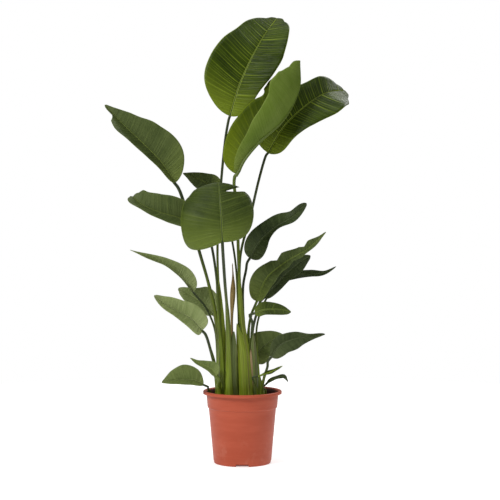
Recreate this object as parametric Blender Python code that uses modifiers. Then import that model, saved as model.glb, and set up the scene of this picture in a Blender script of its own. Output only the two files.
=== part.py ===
"""Potted bird of paradise: a nursery pot, its soil, and two fans of long-stalked leaves.

Metres, +Z up, +X to the right, -Y to the front. The origin is the centre of the pot's foot.
"""
import math

import bmesh
import bpy
from mathutils import Matrix, Vector

# Pot
POT_HEIGHT = 0.2205
POT_WALL = 0.0018
RIM_RADIUS = 0.120
RIM_DROP = 0.010
COLLAR_TOP_RADIUS = 0.110
COLLAR_FOOT_RADIUS = 0.1065
COLLAR_FOOT = 0.170
BODY_TOP_RADIUS = 0.103
BASE_RADIUS = 0.088
BASE_EDGE = 0.003
FLOOR = 0.003
POT_SIDES = 48

# Drain arches under the pot's edge
ARCH_WIDTH = 0.038
ARCH_HEIGHT = 0.008
ARCH_DEPTH = 0.024
ARCH_ROOF = 0.002
DRAIN_RADIUS = 0.005

# Soil
SOIL_TOP = 0.191
CLEARANCE = 0.0003

# Leaves
BLADE_THICKNESS = 0.0012
BLADE_ROWS = 14
BLADE_COLUMNS = 8
BLADE_NECK = 0.003
BLADE_POINT = 0.001
SPINE_STEPS = 48
RAKE = 0.35
RAKE_START = 0.3
LOBE_START = 0.09
END_CROWDING = 0.55
SWEEP_LIMIT = 0.7
STALK_RINGS = 11
STALK_FLARE = 3.0
STALK_END = 0.010

UP = Vector((0.0, 0.0, 1.0))

for old in list(bpy.data.objects):
    bpy.data.objects.remove(old, do_unlink=True)

parts = bpy.data.collections.new("potted_bird_of_paradise")
cutters = bpy.data.collections.new("cutters")
bpy.context.scene.collection.children.link(parts)
bpy.context.scene.collection.children.link(cutters)


def make_material(name, colour, roughness):
    """A Principled material of one colour."""
    material = bpy.data.materials.new(name)
    material.use_nodes = True
    shader = material.node_tree.nodes["Principled BSDF"]
    shader.inputs["Base Color"].default_value = (*colour, 1.0)
    shader.inputs["Roughness"].default_value = roughness
    shader.inputs["Metallic"].default_value = 0.0
    return material


def add_mesh_object(name, mesh, material, collection=parts):
    """An object that holds this mesh."""
    obj = bpy.data.objects.new(name, mesh)
    collection.objects.link(obj)
    if material:
        mesh.materials.append(material)
    return obj


def turn_profile(name, profile, material):
    """A solid turned about Z from (radius, height) points that run down its outer side."""
    mesh = bpy.data.meshes.new(name)
    points = [(radius, 0.0, height) for radius, height in profile]
    edges = [(i, i + 1) for i in range(len(points) - 1)]
    mesh.from_pydata(points, edges, [])
    obj = add_mesh_object(name, mesh, material)
    screw = obj.modifiers.new("turn", "SCREW")
    screw.axis = "Z"
    screw.angle = math.tau
    screw.steps = POT_SIDES
    screw.render_steps = POT_SIDES
    screw.use_merge_vertices = True
    screw.merge_threshold = 0.0001
    screw.use_smooth_shade = True
    return obj


def boolean(obj, operation, shapes):
    """Cut a hidden shape from an object, or join it on."""
    modifier = obj.modifiers.new(operation.lower(), "BOOLEAN")
    modifier.operation = operation
    modifier.solver = "EXACT"
    modifier.object = shapes
    shapes.hide_render = True
    shapes.display_type = "WIRE"


def ring_of_blocks(name, inner, outer, width, low, high):
    """Four blocks under the pot's edge: front, right, back and left."""
    bm = bmesh.new()
    for quarter in range(4):
        spin = Matrix.Rotation(quarter * math.tau / 4, 4, "Z")
        place = Matrix.Translation((0.0, -(inner + outer) / 2, (low + high) / 2))
        size = Matrix.Diagonal((width, outer - inner, high - low, 1.0))
        bmesh.ops.create_cube(bm, size=1.0, matrix=spin @ place @ size)
    mesh = bpy.data.meshes.new(name)
    bm.to_mesh(mesh)
    bm.free()
    return add_mesh_object(name, mesh, None, cutters)


def ring_of_holes(name, distance, radius, low, high):
    """Four round drain holes, one in the roof of each arch."""
    bm = bmesh.new()
    for quarter in range(4):
        spin = Matrix.Rotation(quarter * math.tau / 4, 4, "Z")
        place = Matrix.Translation((0.0, -distance, (low + high) / 2))
        bmesh.ops.create_cone(
            bm,
            cap_ends=True,
            segments=12,
            radius1=radius,
            radius2=radius,
            depth=high - low,
            matrix=spin @ place,
        )
    mesh = bpy.data.meshes.new(name)
    bm.to_mesh(mesh)
    bm.free()
    return add_mesh_object(name, mesh, None, cutters)


def body_radius(height):
    """The pot's outer radius below its collar."""
    share = (height - BASE_EDGE) / (COLLAR_FOOT - BASE_EDGE)
    return BASE_RADIUS + (BODY_TOP_RADIUS - BASE_RADIUS) * share


def collar_radius(height):
    """The pot's outer radius on its collar."""
    share = (height - COLLAR_FOOT) / (POT_HEIGHT - RIM_DROP - COLLAR_FOOT)
    return COLLAR_FOOT_RADIUS + (COLLAR_TOP_RADIUS - COLLAR_FOOT_RADIUS) * share


def make_pot(material):
    """The pot: a tapered shell with a stepped collar, a rolled lip and four drain arches."""
    lip_top = POT_HEIGHT
    lip_low = POT_HEIGHT - RIM_DROP
    profile = [
        (0.0, FLOOR),
        (BASE_RADIUS - POT_WALL - BASE_EDGE, FLOOR),
        (body_radius(FLOOR + BASE_EDGE) - POT_WALL, FLOOR + BASE_EDGE),
        (BODY_TOP_RADIUS - POT_WALL, COLLAR_FOOT + POT_WALL),
        (COLLAR_FOOT_RADIUS - POT_WALL, COLLAR_FOOT + 2 * POT_WALL),
        (COLLAR_TOP_RADIUS - POT_WALL, lip_low),
        (COLLAR_TOP_RADIUS, lip_top - POT_WALL),
        (COLLAR_TOP_RADIUS + 0.002, lip_top),
        (RIM_RADIUS - 0.002, lip_top),
        (RIM_RADIUS, lip_top - 0.002),
        (RIM_RADIUS, lip_low + 0.001),
        (RIM_RADIUS - POT_WALL, lip_low + 0.001),
        (RIM_RADIUS - POT_WALL, lip_top - POT_WALL - 0.002),
        (COLLAR_TOP_RADIUS + POT_WALL, lip_top - POT_WALL - 0.002),
        (COLLAR_TOP_RADIUS, lip_low),
        (COLLAR_FOOT_RADIUS, COLLAR_FOOT),
        (BODY_TOP_RADIUS, COLLAR_FOOT - POT_WALL),
        (BASE_RADIUS, BASE_EDGE),
        (BASE_RADIUS - BASE_EDGE, 0.0),
        (0.0, 0.0),
    ]
    pot = turn_profile("nursery_pot", profile, material)
    inner = BASE_RADIUS - ARCH_DEPTH
    roof_top = ARCH_HEIGHT + ARCH_ROOF
    roof_outer = BASE_RADIUS - POT_WALL / 2
    roofs = ring_of_blocks(
        "arch_roofs",
        inner - ARCH_ROOF,
        roof_outer,
        ARCH_WIDTH + 2 * ARCH_ROOF,
        FLOOR / 2,
        roof_top,
    )
    inset = ARCH_WIDTH / 2 + ARCH_ROOF
    corner = math.hypot(roof_outer, inset)
    for vert in roofs.data.vertices:
        reach = math.hypot(vert.co.x, vert.co.y)
        if reach > corner - 0.001:
            vert.co.xy *= roof_outer / reach
    boolean(pot, "UNION", roofs)
    boolean(
        pot,
        "DIFFERENCE",
        ring_of_blocks("arch_hollows", inner, BASE_RADIUS + 0.01, ARCH_WIDTH, -0.01, ARCH_HEIGHT),
    )
    boolean(
        pot,
        "DIFFERENCE",
        ring_of_holes("drain_holes", inner + ARCH_DEPTH / 2, DRAIN_RADIUS, 0.001, roof_top + 0.01),
    )


def make_soil(material):
    """The soil: it rests on the arch roofs and fills the pot to just below its lip."""
    low = ARCH_HEIGHT + ARCH_ROOF + CLEARANCE
    gap = POT_WALL + CLEARANCE * 2
    profile = [
        (0.0, SOIL_TOP),
        (collar_radius(SOIL_TOP) - gap - 0.003, SOIL_TOP),
        (collar_radius(SOIL_TOP) - gap, SOIL_TOP - 0.003),
        (COLLAR_FOOT_RADIUS - gap, COLLAR_FOOT + 2 * POT_WALL + 2 * CLEARANCE),
        (BODY_TOP_RADIUS - gap, COLLAR_FOOT + POT_WALL),
        (body_radius(low) - gap, low),
        (0.0, low),
    ]
    turn_profile("potting_soil", profile, material)


def catmull_rom(points, count):
    """Points spread evenly over a smooth curve that runs through the given ones."""
    knots = [2 * points[0] - points[1], *points, 2 * points[-1] - points[-2]]
    dense = []
    fine = 12
    for i in range(1, len(knots) - 2):
        before, start, end, after = knots[i - 1 : i + 3]
        for step in range(fine):
            t = step / fine
            a = 2 * start
            b = (end - before) * t
            c = (2 * before - 5 * start + 4 * end - after) * t * t
            d = (3 * start - before - 3 * end + after) * t * t * t
            dense.append((a + b + c + d) / 2)
    dense.append(points[-1].copy())
    reach = [0.0]
    for a, b in zip(dense, dense[1:]):
        reach.append(reach[-1] + (b - a).length)
    spread = []
    i = 0
    for n in range(count):
        goal = reach[-1] * n / (count - 1)
        while i < len(dense) - 2 and reach[i + 1] < goal:
            i += 1
        share = (goal - reach[i]) / (reach[i + 1] - reach[i])
        spread.append(dense[i].lerp(dense[i + 1], share))
    return spread


def smooth(share):
    """A change from 0 to 1 that starts and ends gently."""
    share = min(1.0, max(0.0, share))
    return share * share * (3 - 2 * share)


def spine_of(midrib, faces):
    """Even places along a midrib, each with its direction, upper side and right side."""
    places = catmull_rom([Vector(point) for point in midrib], SPINE_STEPS + 1)
    first, last = (Vector(face).normalized() for face in faces)
    spine = []
    for n, place in enumerate(places):
        along = (places[min(n + 1, SPINE_STEPS)] - places[max(n - 1, 0)]).normalized()
        face = first.lerp(last, n / SPINE_STEPS)
        face = (face - face.dot(along) * along).normalized()
        spine.append((place, along, face, along.cross(face)))
    return spine


def spine_at(spine, share):
    """The midrib's place and directions at a share of its length."""
    reach = share * SPINE_STEPS
    i = min(int(reach), SPINE_STEPS - 1)
    mix = reach - i
    return [a.lerp(b, mix) for a, b in zip(spine[i], spine[i + 1])]


def half_width(widths, share):
    """A half's width from five sizes along it. It closes in a round end at both ends."""
    knots = [0.0, *widths, 0.0]
    turn = math.acos(1 - 2 * share) / math.pi * 6
    i = min(int(turn), 5)
    t = turn - i
    start, end = knots[i], knots[i + 1]
    before = knots[i - 1] if i else -knots[1]
    after = knots[i + 2] if i < 5 else -knots[5]
    a = 2 * start + (end - before) * t
    b = (2 * before - 5 * start + 4 * end - after) * t * t
    c = (3 * start - before - 3 * end + after) * t * t * t
    return max(0.0, (a + b + c) / 2)


def across_half(width, fold, curl, reach):
    """How far out and up a place on one half lies. The half rises by fold and rolls by curl."""
    fold = math.radians(fold)
    curl = math.radians(curl)
    if abs(curl) < 0.001:
        return width * reach * math.cos(fold), width * reach * math.sin(fold)
    end = fold + curl * reach
    radius = width / curl
    return radius * (math.sin(end) - math.sin(fold)), radius * (math.cos(fold) - math.cos(end))


def make_blade(name, material, spine, left, right, fold, curl, lobe, wave, tears):
    """A thin leaf blade: a grid bent along its midrib, folded about it and waved at its margin.

    left and right are half widths at five places, each lobe sweeps a half's base back, and
    a tear is a half, its place along the blade, its depth and the length that it spans.
    """
    length = sum((b[0] - a[0]).length for a, b in zip(spine, spine[1:]))
    halves = (left, right)
    widest = max(*left, *right)
    waves, height = wave
    bm = bmesh.new()
    bmesh.ops.create_grid(bm, x_segments=BLADE_ROWS, y_segments=BLADE_COLUMNS, size=0.5)
    for vert in bm.verts:
        even = vert.co.x + 0.5
        crowded = (1.0 - math.cos(math.pi * even)) / 2
        share = crowded * END_CROWDING + even * (1.0 - END_CROWDING)
        side = 1 if vert.co.y < 0 else 0
        reach = abs(vert.co.y) * 2
        place, along, face, sideways = spine_at(spine, share)
        settle = smooth(share / RAKE_START)
        width = half_width(halves[side], share)
        room = (1.0 - share) * length * SWEEP_LIMIT
        ahead = min(RAKE * settle * width, room)
        width = half_width(halves[side], share + ahead / length)
        for torn, at, depth, span in tears:
            if torn == side:
                width *= 1.0 - depth * max(0.0, 1.0 - abs(share - at) / max(span, 1.0 / BLADE_ROWS))
        width = max(width, BLADE_NECK + (BLADE_POINT - BLADE_NECK) * share)
        out, rise = across_half(width, fold[side], curl[side], reach)
        ruffle = math.sin(math.tau * waves * share + side * 2.0)
        rise += height * ruffle * reach**2 * width / widest
        sweep = RAKE * settle - lobe[side] * (1.0 - settle) * min(1.0, share / LOBE_START)
        sweep = min(sweep * width, room) * reach
        sign = 1.0 if side else -1.0
        vert.co = place + sideways * out * sign + face * rise + along * sweep
    mesh = bpy.data.meshes.new(name)
    bm.normal_update()
    bm.to_mesh(mesh)
    bm.free()
    obj = add_mesh_object(name, mesh, material)
    shell = obj.modifiers.new("thickness", "SOLIDIFY")
    shell.thickness = BLADE_THICKNESS
    shell.offset = 0.0
    mesh.shade_smooth()


def make_stalk(name, material, route, girth):
    """A leaf stalk: a tube that flares towards its foot."""
    curve = bpy.data.curves.new(name, "CURVE")
    curve.dimensions = "3D"
    curve.bevel_depth = 1.0
    curve.bevel_resolution = 2
    curve.use_fill_caps = True
    spline = curve.splines.new("POLY")
    foot_up = route[0] + UP * STALK_END
    points = [route[0], *catmull_rom([foot_up, *route[1:-1]], STALK_RINGS - 2), route[-1]]
    spline.points.add(len(points) - 1)
    foot, neck = girth
    for n, point in enumerate(points):
        share = n / (len(points) - 1)
        spline.points[n].co = (*point, 1.0)
        spline.points[n].radius = neck + (foot - neck) * (1.0 - share) ** STALK_FLARE
    curve.materials.append(material)
    obj = bpy.data.objects.new(name, curve)
    parts.objects.link(obj)


def grow_leaf(name, blade, stalk, midrib, faces, left, right, fold=(12, 12), curl=(0, 0),
              lobe=(0.0, 0.0), wave=(2, 0.003), tears=(), foot=(0, 0), via=(), girth=(0.006, 0.004)):
    """A leaf: its stalk from the soil through the via points, and its blade on its midrib."""
    spine = spine_of(midrib, faces)
    make_blade(name, blade, spine, left, right, fold, curl, lobe, wave, tears)
    base, along = spine[0][:2]
    top = base - along * CLEARANCE * 2
    route = [Vector((foot[0], foot[1], SOIL_TOP + CLEARANCE))]
    route += [Vector(point) for point in via]
    route += [top - along * STALK_END, top]
    make_stalk(name + "_stalk", stalk, route, girth)


terracotta = make_material("terracotta_plastic", (0.50, 0.12, 0.05), 0.55)
soil = make_material("potting_soil", (0.05, 0.03, 0.02), 0.95)
old_green = make_material("old_leaf_green", (0.035, 0.075, 0.010), 0.35)
mid_green = make_material("full_leaf_green", (0.075, 0.135, 0.025), 0.45)
young_green = make_material("young_leaf_green", (0.16, 0.24, 0.035), 0.45)
stalk_green = make_material("stalk_green", (0.13, 0.20, 0.02), 0.45)
dark_stalk = make_material("dark_stalk_green", (0.035, 0.065, 0.012), 0.45)
husk = make_material("dry_husk", (0.28, 0.20, 0.09), 0.8)

make_pot(terracotta)
make_soil(soil)

# Upper leaves
grow_leaf(
    "top_leaf",
    old_green,
    dark_stalk,
    midrib=[
        (-0.038, 0.02, 1.057),
        (-0.011, 0.018, 1.146),
        (0.026, 0.022, 1.23),
        (0.068, 0.036, 1.306),
        (0.106, 0.085, 1.362),
    ],
    faces=((0.05, -1.0, 0.1), (-0.3, -0.8, 0.6)),
    left=(0.058, 0.11, 0.112, 0.084, 0.05),
    right=(0.044, 0.066, 0.092, 0.09, 0.056),
    fold=(10, 10),
    wave=(2, 0.004),
    foot=(-0.044, 0.006),
    girth=(0.0075, 0.0036),
    via=[
        (-0.05, 0.008, 0.343),
        (-0.066, 0.014, 0.462),
        (-0.075, 0.02, 0.587),
        (-0.075, 0.022, 0.694),
        (-0.065, 0.022, 0.856),
        (-0.053, 0.02, 0.978),
    ],
)
grow_leaf(
    "furled_leaf",
    young_green,
    stalk_green,
    midrib=[
        (-0.019, -0.03, 0.88),
        (0.004, -0.03, 0.925),
        (0.052, -0.03, 0.98),
        (0.124, -0.028, 1.045),
        (0.171, -0.022, 1.135),
        (0.174, -0.012, 1.222),
    ],
    faces=((-0.8, 0.0, 0.2), (-0.8, 0.0, 0.3)),
    left=(0.055, 0.1, 0.112, 0.098, 0.052),
    right=(0.022, 0.048, 0.088, 0.104, 0.064),
    fold=(65, 40),
    curl=(20, 45),
    lobe=(0.1, 0.1),
    wave=(1, 0.003),
    foot=(0.02, -0.014),
    girth=(0.008, 0.0052),
    via=[
        (0.011, -0.018, 0.331),
        (-0.003, -0.024, 0.438),
        (-0.009, -0.03, 0.544),
        (-0.013, -0.034, 0.65),
        (-0.016, -0.032, 0.756),
    ],
)
grow_leaf(
    "upper_right_leaf",
    old_green,
    dark_stalk,
    midrib=[
        (0.078, 0.03, 0.945),
        (0.124, 0.03, 1.021),
        (0.186, 0.034, 1.083),
        (0.252, 0.056, 1.128),
        (0.314, 0.105, 1.143),
    ],
    faces=((-0.1, -1.0, 0.1), (0.1, -0.7, 0.7)),
    left=(0.055, 0.062, 0.066, 0.06, 0.046),
    right=(0.036, 0.05, 0.068, 0.09, 0.062),
    fold=(12, 8),
    wave=(2.5, 0.006),
    foot=(0.012, 0.014),
    girth=(0.0065, 0.0036),
    via=[
        (0.005, 0.018, 0.327),
        (-0.004, 0.022, 0.449),
        (-0.009, 0.03, 0.571),
        (-0.003, 0.036, 0.651),
        (0.023, 0.04, 0.746),
        (0.047, 0.036, 0.85),
    ],
)
grow_leaf(
    "upper_left_leaf",
    mid_green,
    dark_stalk,
    midrib=[
        (-0.204, -0.01, 0.853),
        (-0.249, -0.019, 0.918),
        (-0.304, -0.03, 0.975),
        (-0.361, -0.03, 1.03),
        (-0.415, -0.02, 1.088),
    ],
    faces=((0.3, -0.9, 0.32), (0.25, -0.9, 0.4)),
    left=(0.03, 0.05, 0.066, 0.074, 0.024),
    right=(0.045, 0.081, 0.075, 0.045, 0.014),
    fold=(46, 34),
    wave=(2, 0.003),
    tears=((0, 0.86, 0.6, 0.1),),
    foot=(-0.06, -0.002),
    girth=(0.0075, 0.0046),
    via=[
        (-0.068, 0.0, 0.344),
        (-0.083, -0.002, 0.46),
        (-0.105, -0.004, 0.555),
        (-0.126, -0.006, 0.628),
        (-0.15, -0.008, 0.71),
        (-0.18, -0.01, 0.801),
    ],
)

# Middle leaves
grow_leaf(
    "front_leaf",
    mid_green,
    dark_stalk,
    midrib=[
        (-0.058, -0.16, 0.677),
        (-0.061, -0.166, 0.743),
        (-0.066, -0.146, 0.806),
        (-0.071, -0.095, 0.85),
        (-0.073, -0.036, 0.847),
    ],
    faces=((0.0, -1.0, 0.05), (0.0, -0.2, 1.0)),
    left=(0.1, 0.13, 0.118, 0.084, 0.04),
    right=(0.07, 0.1, 0.098, 0.07, 0.034),
    fold=(4, 4),
    curl=(-46, -40),
    lobe=(0.45, 0.1),
    wave=(2, 0.002),
    tears=((1, 0.6, 0.75, 0.06),),
    foot=(-0.038, -0.03),
    girth=(0.008, 0.0042),
    via=[
        (-0.039, -0.045, 0.349),
        (-0.044, -0.07, 0.456),
        (-0.051, -0.105, 0.548),
        (-0.055, -0.14, 0.618),
    ],
)
grow_leaf(
    "middle_left_leaf",
    mid_green,
    dark_stalk,
    midrib=[
        (-0.127, -0.06, 0.723),
        (-0.186, -0.067, 0.746),
        (-0.248, -0.071, 0.764),
        (-0.302, -0.064, 0.788),
        (-0.33, -0.034, 0.812),
    ],
    faces=((0.1, -0.92, 0.36), (-0.1, -0.7, 0.7)),
    left=(0.035, 0.055, 0.054, 0.052, 0.034),
    right=(0.041, 0.055, 0.057, 0.048, 0.034),
    fold=(42, 30),
    wave=(1.5, 0.003),
    foot=(-0.056, -0.02),
    girth=(0.007, 0.0036),
    via=[
        (-0.063, -0.022, 0.346),
        (-0.071, -0.027, 0.462),
        (-0.078, -0.035, 0.566),
        (-0.092, -0.047, 0.66),
    ],
)
grow_leaf(
    "small_back_leaf",
    old_green,
    dark_stalk,
    midrib=[
        (-0.068, 0.09, 0.832),
        (-0.098, 0.086, 0.846),
        (-0.128, 0.083, 0.862),
        (-0.156, 0.079, 0.874),
        (-0.184, 0.075, 0.884),
    ],
    faces=((0.1, -0.95, 0.25), (0.1, -0.95, 0.3)),
    left=(0.024, 0.034, 0.036, 0.024, 0.008),
    right=(0.024, 0.034, 0.028, 0.015, 0.005),
    fold=(18, 22),
    foot=(0.0, 0.03),
    girth=(0.0065, 0.003),
    via=[
        (-0.008, 0.035, 0.341),
        (-0.015, 0.045, 0.494),
        (-0.02, 0.06, 0.592),
        (-0.033, 0.075, 0.68),
        (-0.055, 0.087, 0.78),
    ],
)
grow_leaf(
    "twisted_leaf",
    old_green,
    dark_stalk,
    midrib=[
        (0.023, 0.01, 0.624),
        (0.055, -0.001, 0.677),
        (0.101, -0.009, 0.719),
        (0.154, -0.009, 0.752),
        (0.194, 0.015, 0.792),
    ],
    faces=((0.0, -1.0, 0.1), (0.0, -0.5, 0.9)),
    left=(0.029, 0.042, 0.034, 0.022, 0.012),
    right=(0.034, 0.036, 0.016, 0.03, 0.02),
    fold=(24, 16),
    curl=(0, 25),
    wave=(2, 0.006),
    foot=(0.022, 0.032),
    girth=(0.0065, 0.0036),
    via=[
        (0.008, 0.036, 0.356),
        (0.002, 0.04, 0.463),
        (0.002, 0.034, 0.537),
        (0.011, 0.022, 0.587),
    ],
)
grow_leaf(
    "wavy_leaf",
    mid_green,
    stalk_green,
    midrib=[
        (0.044, 0.01, 0.493),
        (0.074, 0.0, 0.563),
        (0.132, -0.01, 0.613),
        (0.198, -0.011, 0.653),
        (0.254, 0.0, 0.704),
    ],
    faces=((-0.15, -1.0, 0.15), (0.0, -0.8, 0.5)),
    left=(0.03, 0.04, 0.028, 0.02, 0.006),
    right=(0.022, 0.03, 0.024, 0.014, 0.006),
    fold=(20, 25),
    lobe=(0.3, 0.1),
    wave=(3.2, 0.016),
    tears=((0, 0.42, 0.35, 0.07), (1, 0.56, 0.5, 0.09), (0, 0.72, 0.4, 0.06)),
    foot=(0.028, 0.008),
    girth=(0.0065, 0.0036),
    via=[
        (0.019, 0.009, 0.343),
        (0.019, 0.01, 0.404),
        (0.026, 0.01, 0.447),
    ],
)
grow_leaf(
    "dark_right_leaf",
    old_green,
    dark_stalk,
    midrib=[
        (0.066, 0.06, 0.499),
        (0.1, 0.055, 0.536),
        (0.132, 0.05, 0.572),
        (0.169, 0.05, 0.604),
        (0.209, 0.055, 0.63),
    ],
    faces=((-0.1, -1.0, -0.1), (-0.1, -1.0, -0.1)),
    left=(0.03, 0.036, 0.034, 0.028, 0.012),
    right=(0.014, 0.02, 0.022, 0.026, 0.012),
    fold=(15, 5),
    foot=(0.04, 0.022),
    girth=(0.0065, 0.0036),
    via=[
        (0.031, 0.028, 0.326),
        (0.032, 0.04, 0.402),
        (0.045, 0.053, 0.456),
    ],
)
grow_leaf(
    "slender_leaf",
    old_green,
    dark_stalk,
    midrib=[
        (0.129, 0.12, 0.548),
        (0.169, 0.12, 0.567),
        (0.211, 0.12, 0.57),
        (0.254, 0.12, 0.574),
        (0.292, 0.12, 0.594),
    ],
    faces=((0.0, -0.8, 0.6), (0.0, -0.9, 0.3)),
    left=(0.007, 0.013, 0.014, 0.006, 0.002),
    right=(0.006, 0.014, 0.015, 0.008, 0.004),
    fold=(20, 20),
    wave=(1.5, 0.004),
    foot=(0.05, 0.038),
    girth=(0.006, 0.003),
    via=[
        (0.042, 0.05, 0.369),
        (0.052, 0.066, 0.445),
        (0.083, 0.098, 0.51),
    ],
)
grow_leaf(
    "short_right_leaf",
    mid_green,
    dark_stalk,
    midrib=[
        (0.038, -0.03, 0.459),
        (0.065, -0.034, 0.469),
        (0.093, -0.037, 0.471),
        (0.121, -0.038, 0.47),
        (0.147, -0.035, 0.463),
    ],
    faces=((0.0, -0.95, 0.3), (0.0, -0.95, 0.3)),
    left=(0.015, 0.024, 0.022, 0.013, 0.005),
    right=(0.016, 0.017, 0.019, 0.017, 0.011),
    fold=(18, 14),
    foot=(0.036, -0.008),
    girth=(0.0065, 0.0036),
    via=[
        (0.029, -0.012, 0.33),
        (0.028, -0.018, 0.388),
        (0.03, -0.024, 0.43),
    ],
)

# Low leaves
grow_leaf(
    "long_tipped_leaf",
    mid_green,
    dark_stalk,
    midrib=[
        (-0.151, 0.02, 0.52),
        (-0.188, 0.014, 0.566),
        (-0.234, 0.01, 0.602),
        (-0.29, 0.01, 0.624),
        (-0.343, 0.01, 0.649),
    ],
    faces=((0.2, -0.95, 0.15), (0.1, -0.95, 0.3)),
    left=(0.022, 0.032, 0.028, 0.014, 0.004),
    right=(0.028, 0.039, 0.024, 0.015, 0.004),
    fold=(74, 30),
    wave=(1.5, 0.003),
    foot=(-0.076, 0.004),
    girth=(0.0065, 0.003),
    via=[
        (-0.075, 0.01, 0.312),
        (-0.084, 0.018, 0.403),
        (-0.11, 0.024, 0.468),
    ],
)
grow_leaf(
    "inner_left_leaf",
    mid_green,
    stalk_green,
    midrib=[
        (-0.091, 0.06, 0.449),
        (-0.115, 0.055, 0.474),
        (-0.14, 0.05, 0.494),
        (-0.168, 0.05, 0.513),
        (-0.197, 0.05, 0.53),
    ],
    faces=((0.2, -0.95, 0.25), (0.2, -0.95, 0.3)),
    left=(0.02, 0.034, 0.036, 0.034, 0.02),
    right=(0.03, 0.05, 0.054, 0.024, 0.01),
    fold=(30, 26),
    wave=(2, 0.004),
    foot=(-0.064, 0.018),
    girth=(0.0065, 0.004),
    via=[
        (-0.069, 0.03, 0.326),
        (-0.076, 0.047, 0.401),
    ],
)
grow_leaf(
    "sage_leaf",
    young_green,
    dark_stalk,
    midrib=[
        (-0.121, -0.07, 0.41),
        (-0.151, -0.076, 0.444),
        (-0.189, -0.08, 0.466),
        (-0.229, -0.08, 0.488),
        (-0.264, -0.075, 0.515),
    ],
    faces=((0.25, -0.92, 0.32), (0.2, -0.92, 0.4)),
    left=(0.034, 0.042, 0.036, 0.026, 0.012),
    right=(0.032, 0.042, 0.038, 0.029, 0.012),
    fold=(38, 30),
    lobe=(0.3, 0.1),
    wave=(1.5, 0.003),
    foot=(-0.074, -0.018),
    girth=(0.0065, 0.004),
    via=[
        (-0.076, -0.024, 0.24),
        (-0.083, -0.036, 0.299),
        (-0.096, -0.052, 0.35),
    ],
)
grow_leaf(
    "curled_small_leaf",
    young_green,
    stalk_green,
    midrib=[
        (-0.079, -0.06, 0.272),
        (-0.093, -0.062, 0.292),
        (-0.114, -0.064, 0.304),
        (-0.136, -0.064, 0.314),
        (-0.157, -0.06, 0.326),
    ],
    faces=((0.2, -0.95, 0.2), (0.1, -0.95, 0.3)),
    left=(0.01, 0.014, 0.011, 0.008, 0.003),
    right=(0.014, 0.026, 0.017, 0.007, 0.003),
    fold=(25, 25),
    wave=(1.5, 0.002),
    foot=(-0.068, -0.036),
    girth=(0.0075, 0.006),
    via=[
        (-0.069, -0.04, 0.222),
        (-0.071, -0.046, 0.24),
    ],
)
grow_leaf(
    "lowest_leaf",
    young_green,
    dark_stalk,
    midrib=[
        (-0.118, -0.038, 0.243),
        (-0.146, -0.044, 0.256),
        (-0.18, -0.049, 0.259),
        (-0.213, -0.05, 0.256),
        (-0.244, -0.045, 0.25),
    ],
    faces=((0.05, -0.9, 0.4), (0.05, -0.9, 0.4)),
    left=(0.018, 0.034, 0.038, 0.026, 0.01),
    right=(0.016, 0.036, 0.045, 0.031, 0.011),
    fold=(50, 15),
    wave=(1, 0.002),
    foot=(-0.092, -0.012),
    girth=(0.004, 0.003),
    via=[
        (-0.097, -0.018, 0.214),
        (-0.104, -0.026, 0.23),
    ],
)
grow_leaf(
    "low_right_leaf",
    mid_green,
    dark_stalk,
    midrib=[
        (0.042, 0.072, 0.296),
        (0.048, 0.068, 0.328),
        (0.07, 0.064, 0.353),
        (0.097, 0.064, 0.371),
        (0.128, 0.066, 0.383),
    ],
    faces=((-0.1, -1.0, 0.1), (0.0, -0.9, 0.4)),
    left=(0.024, 0.036, 0.05, 0.032, 0.014),
    right=(0.028, 0.04, 0.042, 0.036, 0.014),
    fold=(14, 14),
    lobe=(0.2, 0.2),
    wave=(2, 0.004),
    foot=(0.066, 0.036),
    girth=(0.0055, 0.0036),
    via=[
        (0.06, 0.05, 0.222),
        (0.05, 0.064, 0.258),
    ],
)
grow_leaf(
    "long_low_leaf",
    old_green,
    dark_stalk,
    midrib=[
        (0.087, -0.04, 0.327),
        (0.115, -0.047, 0.364),
        (0.158, -0.05, 0.383),
        (0.204, -0.049, 0.388),
        (0.25, -0.04, 0.396),
    ],
    faces=((-0.1, -0.95, 0.3), (0.0, -0.8, 0.6)),
    left=(0.014, 0.03, 0.022, 0.011, 0.006),
    right=(0.024, 0.038, 0.038, 0.014, 0.005),
    fold=(40, 14),
    wave=(1.5, 0.004),
    foot=(0.058, -0.014),
    girth=(0.0055, 0.0036),
    via=[
        (0.06, -0.018, 0.236),
        (0.067, -0.024, 0.267),
        (0.076, -0.032, 0.296),
    ],
)
grow_leaf(
    "upper_seedling_leaf",
    old_green,
    dark_stalk,
    midrib=[
        (0.047, -0.05, 0.27),
        (0.067, -0.052, 0.276),
        (0.086, -0.052, 0.283),
        (0.103, -0.052, 0.291),
        (0.121, -0.05, 0.301),
    ],
    faces=((0.0, -0.9, 0.4), (0.0, -0.9, 0.4)),
    left=(0.003, 0.006, 0.007, 0.005, 0.002),
    right=(0.003, 0.006, 0.007, 0.005, 0.002),
    fold=(35, 35),
    foot=(0.046, -0.028),
    girth=(0.004, 0.0025),
    via=[
        (0.044, -0.038, 0.232),
    ],
)
grow_leaf(
    "hooked_seedling_leaf",
    old_green,
    dark_stalk,
    midrib=[
        (0.072, -0.01, 0.241),
        (0.087, -0.015, 0.254),
        (0.107, -0.018, 0.262),
        (0.127, -0.018, 0.265),
        (0.139, -0.015, 0.248),
    ],
    faces=((0.0, -0.9, 0.5), (0.3, -0.9, 0.2)),
    left=(0.003, 0.006, 0.007, 0.007, 0.003),
    right=(0.003, 0.006, 0.007, 0.007, 0.003),
    fold=(35, 35),
    foot=(0.07, 0.004),
    girth=(0.004, 0.0025),
    via=[
        (0.069, -0.003, 0.222),
    ],
)

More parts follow.
